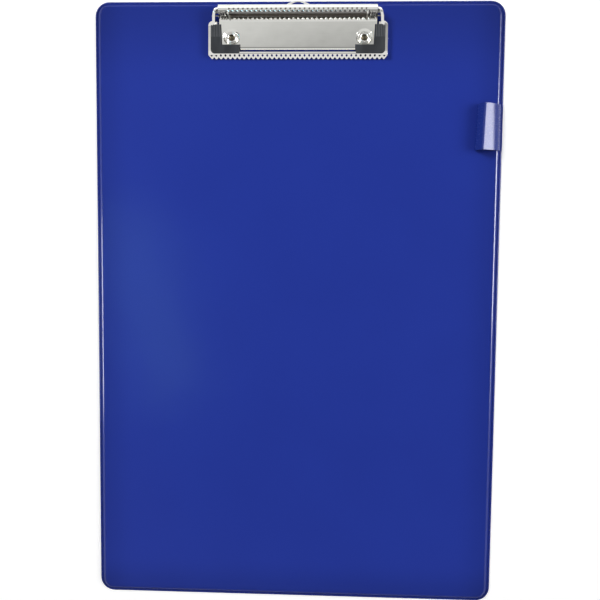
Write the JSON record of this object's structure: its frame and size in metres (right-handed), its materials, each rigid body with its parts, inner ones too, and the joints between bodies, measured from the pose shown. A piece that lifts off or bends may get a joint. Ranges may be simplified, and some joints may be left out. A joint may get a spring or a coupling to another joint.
{
  "type": "clipboard",
  "caption": "Foolscap clipboard: plastic-covered board, toothed spring clip with corner pads, sliding hanging eye and side pen loop.",
  "frame": {"origin": "centre of the board's back face", "axes": "+Y along the board to the clip end, +Z out of the writing face, +X to the pen loop's side"},
  "size_m": [0.23, 0.343, 0.011],
  "materials": {
    "greyboard": "pressed grey fibre board",
    "cover_film": "soft satin film with a fine grain",
    "plated_sheet": "bright plated sheet steel",
    "bare_steel": "drawn steel wire",
    "pad_rubber": "moulded, soft sheen"
  },
  "bodies": {
    "board": {"board_core": "greyboard", "back_cover": "cover_film", "front_cover": "cover_film", "pen_loop": "cover_film", "base_plate": "plated_sheet", "rivets": "plated_sheet", "hinge_pin": "bare_steel", "torsion_spring_left": "bare_steel", "torsion_spring_right": "bare_steel"},
    "jaw": {"jaw_frame": "plated_sheet", "corner_pad_left": "pad_rubber", "corner_pad_right": "pad_rubber"},
    "hanger": {"hanging_loop": "plated_sheet"}
  },
  "joints": [
    {"name": "jaw_hinge", "type": "hinge", "parent": "board", "child": "jaw", "pos_m": [0, 0.164, 0.00725], "axis": [-1, 0, 0], "range_deg": [0, 60], "stiffness_Nm_per_rad": 0.25, "springref_deg": -57.3, "deforming": ["torsion_spring_left", "torsion_spring_right"]},
    {"name": "hanger_slide", "type": "slide", "parent": "board", "child": "hanger", "axis": [0, 1, 0], "range_m": [0, 0.015]}
  ]
}
